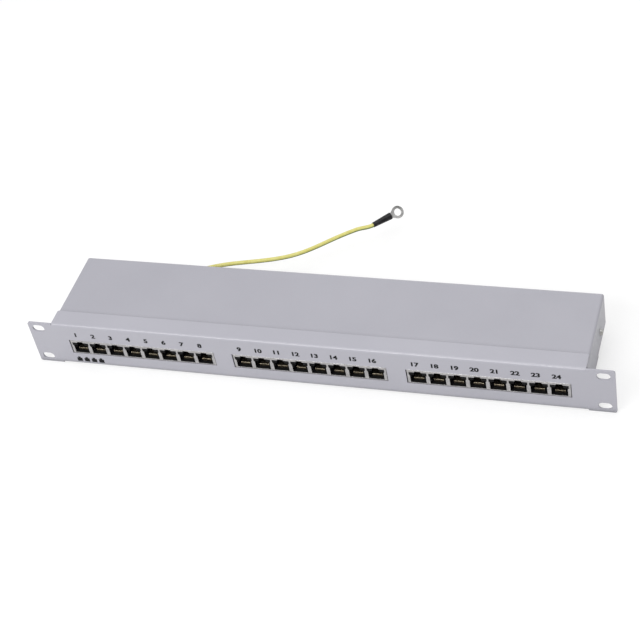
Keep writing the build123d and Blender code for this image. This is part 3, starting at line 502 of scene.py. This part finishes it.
STRIP_ROWS = ("rear", "front")
CABLES = 4
CABLE_PITCH = 32.8 * MM
WIRE_PITCH = 4.0 * MM
PATCH_WIDTH = 2.5 * MM
PATCH_HEIGHT = 2.2 * MM
PATCH_TOP = 10.4 * MM
TRACER_WIDTH = 0.8 * MM
CABLE_NUMERAL_HEIGHT = 3.0 * MM
CABLE_NUMERAL_TOP = 17.2 * MM
CABLE_NUMERAL_BOLD = 0.1 * MM
BOARD_LINE = 0.25 * MM
BOARD_LINE_GAP = 0.35 * MM


def colour_patch(shape, x, rear, top, width, films=1):
    """One block of the colour code on the rear face of a strip."""
    block(shape, (x - width / 2, rear, top - PATCH_HEIGHT), (x + width / 2, rear + films * INK_FILM, top))


def outline(shape, low, high, board_front, z):
    """A thin printed frame round the foot of a part, open where the part overhangs the board's front."""
    left, right = low.x - BOARD_LINE_GAP, high.x + BOARD_LINE_GAP
    front, rear = max(low.y - BOARD_LINE_GAP, board_front), high.y + BOARD_LINE_GAP
    edges = [rear]
    if front > board_front:
        edges.append(front - BOARD_LINE)
    for edge in edges:
        block(shape, (left - BOARD_LINE, edge, z), (right + BOARD_LINE, edge + BOARD_LINE, z + INK_FILM))
    for edge in (left - BOARD_LINE, right):
        block(shape, (edge, front, z), (edge + BOARD_LINE, rear, z + INK_FILM))


pair_marks = {pair: bmesh.new() for pair in PAIR_INKS}
white_marks = bmesh.new()
cable_numerals = bmesh.new()
board_lines = bmesh.new()
for bank, bank_name in enumerate(BANKS):
    board_low, board_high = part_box(f"circuit_board_{bank_name}")
    outline(board_lines, *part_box(f"jack_shield_{bank_name}"), board_low.y, board_high.z)
    for row, row_name in enumerate(STRIP_ROWS):
        low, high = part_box(f"punchdown_strip_{row_name}_{bank_name}")
        outline(board_lines, low, high, board_low.y, board_high.z)
        for cable in range(CABLES):
            cable_x = (low.x + high.x) / 2 + (cable - (CABLES - 1) / 2) * CABLE_PITCH
            number = bank * PORTS + row * CABLES + cable + 1
            mesh = text_mesh(str(number), CABLE_NUMERAL_HEIGHT, CABLE_NUMERAL_BOLD)
            numeral_z = high.z - CABLE_NUMERAL_TOP + CABLE_NUMERAL_HEIGHT / 2
            mesh.transform(standing(cable_x, high.y, numeral_z, math.pi))
            cable_numerals.from_mesh(mesh)
            for pair, pair_name in enumerate(PAIR_INKS):
                tracer_x = cable_x + (2 * pair - len(PAIR_INKS) + 0.5) * WIRE_PITCH
                colour_patch(white_marks, tracer_x, high.y, high.z - PATCH_TOP, PATCH_WIDTH)
                colour_patch(pair_marks[pair_name], tracer_x, high.y, high.z - PATCH_TOP, TRACER_WIDTH, 2)
                colour_patch(
                    pair_marks[pair_name], tracer_x + WIRE_PITCH, high.y, high.z - PATCH_TOP, PATCH_WIDTH
                )
for pair_name, marks in pair_marks.items():
    piece(f"wire_code_{pair_name}", marks, PAIR_INKS[pair_name], "chassis")
piece("wire_code_white", white_marks, WHITE_INK, "chassis")
piece("cable_numbers", cable_numerals, BLACK_INK, "chassis")
piece("board_outlines", board_lines, WHITE_INK, "chassis")


# ---------------------------------------------------------------- thread on the earth stud

THREAD_PITCH = 0.7 * MM
THREAD_DEPTH = 0.12 * MM
THREAD_ROOT = 0.05 * MM
THREAD_STEPS = 48
STUD_RADIUS = 2.0 * MM
STUD_TIP = 0.4 * MM


def thread(shape, x, y, radius, bottom, top):
    """A ridge that winds up a stud from bottom to top."""
    turns = (top - bottom) / THREAD_PITCH - 1
    steps = round(turns * THREAD_STEPS)
    profile = ((-THREAD_ROOT, 0), (THREAD_DEPTH, THREAD_PITCH / 2), (-THREAD_ROOT, THREAD_PITCH))
    rings = []
    for step in range(steps + 1):
        angle = math.tau * step / THREAD_STEPS
        rise = bottom + THREAD_PITCH * step / THREAD_STEPS
        ring = []
        for out, up in profile:
            reach = radius + out
            place = (x + reach * math.cos(angle), y + reach * math.sin(angle), rise + up)
            ring.append(shape.verts.new(place))
        rings.append(ring)
    for lower, upper in zip(rings, rings[1:]):
        for corner in range(len(profile)):
            beside = (corner + 1) % len(profile)
            shape.faces.new((lower[corner], upper[corner], upper[beside], lower[beside]))
    shape.faces.new(rings[0])
    shape.faces.new(reversed(rings[-1]))
    bmesh.ops.recalc_face_normals(shape, faces=shape.faces)


stud_thread = bmesh.new()
bolt_low, bolt_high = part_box("earth_bolt")
thread(
    stud_thread,
    (bolt_low.x + bolt_high.x) / 2,
    (bolt_low.y + bolt_high.y) / 2,
    STUD_RADIUS,
    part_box("earth_nut")[1].z,
    bolt_high.z - STUD_TIP,
)
piece("stud_thread", stud_thread, SLOT_LOOKS["bare_steel"], "chassis")


# ---------------------------------------------------------------- floor, light and camera

FLOOR_Z = cad_box[0].z - 0.2 * MM
FLOOR_HALF = 6.0
FLOOR_SHADE = (0.86, 0.86, 0.86)
FLOOR_SEEN_SHADE = (0.42, 0.42, 0.42)
FLOOR_GLOW = 0.62
WORLD_LIGHT = 0.46
WORLD_SEEN = 1.0


def floor():
    """A pale floor that looks white to the camera, and is clear from below."""
    mesh = bpy.data.meshes.new("floor")
    quarters = ((-1, -1), (1, -1), (1, 1), (-1, 1))
    corners = [(x * FLOOR_HALF, y * FLOOR_HALF, FLOOR_Z) for x, y in quarters]
    mesh.from_pydata(corners, [], [(0, 1, 2, 3)])
    made = bpy.data.objects.new("floor", mesh)
    look = Look("floor")
    seen = look.node("ShaderNodeLightPath").outputs["Is Camera Ray"]
    look.finish(
        Base_Color=look.mix(seen, FLOOR_SHADE, FLOOR_SEEN_SHADE),
        Roughness=0.8,
        Specular_IOR_Level=0.1,
        Emission_Color=(1, 1, 1, 1),
        Emission_Strength=look.sum_of("MULTIPLY", seen, FLOOR_GLOW),
        Alpha=look.sum_of("SUBTRACT", 1.0, look.surface.outputs["Backfacing"]),
    )
    mesh.materials.append(look.material)
    bpy.context.scene.collection.objects.link(made)


def world():
    """Even white surroundings, which light the object less than they show."""
    made = bpy.data.worlds.new("surroundings")
    bpy.context.scene.world = made
    made.use_nodes = True
    nodes = made.node_tree.nodes
    links = made.node_tree.links
    background = nodes["Background"]
    background.inputs["Color"].default_value = (1, 1, 1, 1)
    seen = nodes.new("ShaderNodeLightPath").outputs["Is Camera Ray"]
    brightness = nodes.new("ShaderNodeMapRange")
    brightness.inputs["To Min"].default_value = WORLD_LIGHT
    brightness.inputs["To Max"].default_value = WORLD_SEEN
    links.new(seen, brightness.inputs["Value"])
    links.new(brightness.outputs["Result"], background.inputs["Strength"])


def softbox(name, place, width, height, power):
    """A rectangular lamp aimed at the origin."""
    lamp = bpy.data.lights.new(name, "AREA")
    lamp.shape = "RECTANGLE"
    lamp.size = width
    lamp.size_y = height
    lamp.energy = power
    made = bpy.data.objects.new(name, lamp)
    made.location = place
    made.rotation_euler = (-Vector(place)).to_track_quat("-Z", "Y").to_euler()
    bpy.context.scene.collection.objects.link(made)


# The camera looks down on the panel from the right of its front, and leans to its own right.
CAMERA_PLACE = Vector((0.40244, -0.83077, 0.89331))
CAMERA_AZIMUTH = math.radians(24.84)
CAMERA_ELEVATION = math.radians(42.64)
CAMERA_LEAN = math.radians(12.87)
CAMERA_LENS = 91.68
SENSOR_WIDTH = 36.0
CLIP_END = 50


def camera():
    data = bpy.data.cameras.new("camera")
    data.lens = CAMERA_LENS
    data.sensor_width = SENSOR_WIDTH
    data.clip_end = CLIP_END
    made = bpy.data.objects.new("camera", data)
    aim = Euler((math.pi / 2 - CAMERA_ELEVATION, 0, CAMERA_AZIMUTH)).to_matrix()
    lean = Matrix.Rotation(-CAMERA_LEAN, 3, "Z")
    made.matrix_world = Matrix.Translation(CAMERA_PLACE) @ (aim @ lean).to_4x4()
    bpy.context.scene.collection.objects.link(made)
    bpy.context.scene.camera = made


floor()
world()
softbox("key", (-0.45, -1.10, 1.20), width=1.2, height=0.5, power=12.0)
softbox("overhead", (0.1, 0.1, 1.6), width=1.4, height=1.4, power=9.5)
softbox("rim", (-0.1, 1.6, 0.8), width=1.2, height=0.3, power=2.5)
camera()
bpy.context.scene.view_settings.view_transform = "Standard"
